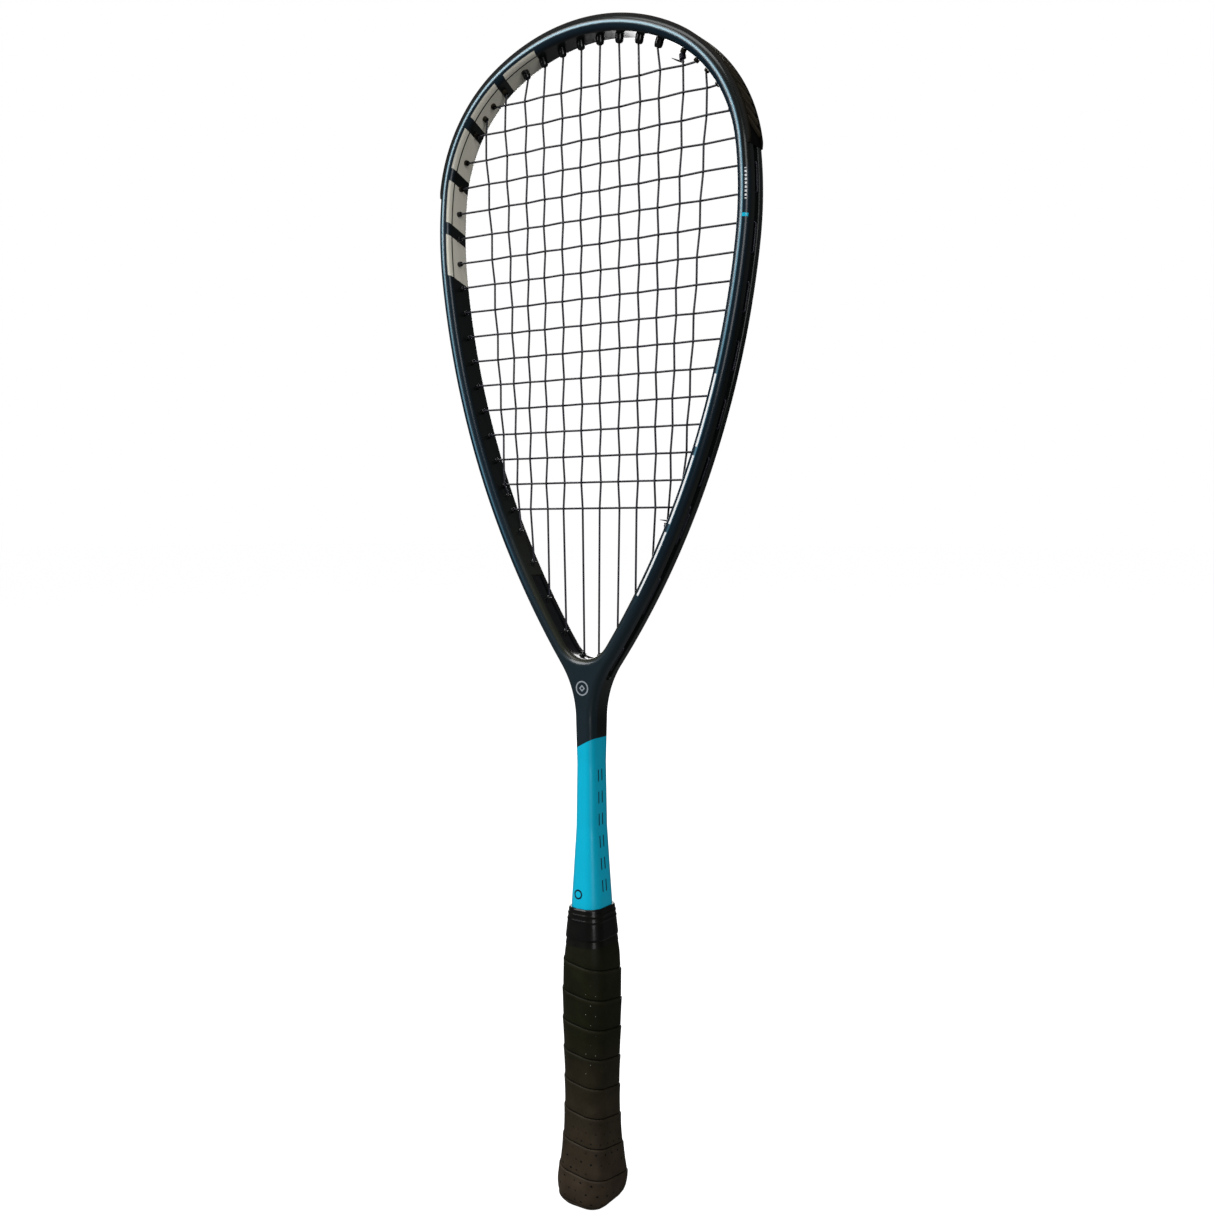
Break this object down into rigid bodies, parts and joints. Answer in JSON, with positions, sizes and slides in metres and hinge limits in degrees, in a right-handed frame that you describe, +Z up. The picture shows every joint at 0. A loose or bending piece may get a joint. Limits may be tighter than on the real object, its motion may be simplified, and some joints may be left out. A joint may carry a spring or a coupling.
{
  "type": "squash racket",
  "caption": "Squash racket with a teardrop head, one-piece woven stringing, crown bumper, tapered shaft and wound grip.",
  "frame": {"origin": "centre of the butt's flat end face", "axes": "+Z up the handle to the crown of the head, +X across the string bed, -Y is the front of the head"},
  "size_m": [0.2118, 0.039, 0.686],
  "materials": {
    "frame_paint": "satin dark navy paint over carbon composite, cyan shaft panel",
    "bumper_nylon": "moulded nylon",
    "grommet_nylon": "glossy moulded nylon",
    "string_nylon": "coated multifilament",
    "core_foam": "rigid foam",
    "staple_steel": "drawn wire",
    "handle_polymer": "moulded",
    "grip_polyurethane": "perforated polyurethane wrap",
    "tape_film": "adhesive film",
    "collar_rubber": "glossy moulded rubber"
  },
  "bodies": {
    "root": {"frame": "frame_paint", "bumper_guard": "bumper_nylon", "crown_grommets": "grommet_nylon", "grommet_strip_left": "grommet_nylon", "grommet_strip_right": "grommet_nylon", "throat_grommet": "grommet_nylon", "string": "string_nylon", "string_knots": "string_nylon", "foam_core": "core_foam", "butt_cap_staples": "staple_steel", "butt_cap": "handle_polymer", "handle_pallet": "handle_polymer", "grip_wrap": "grip_polyurethane", "finishing_tape": "tape_film", "grip_collar": "collar_rubber"}
  },
  "joints": []
}
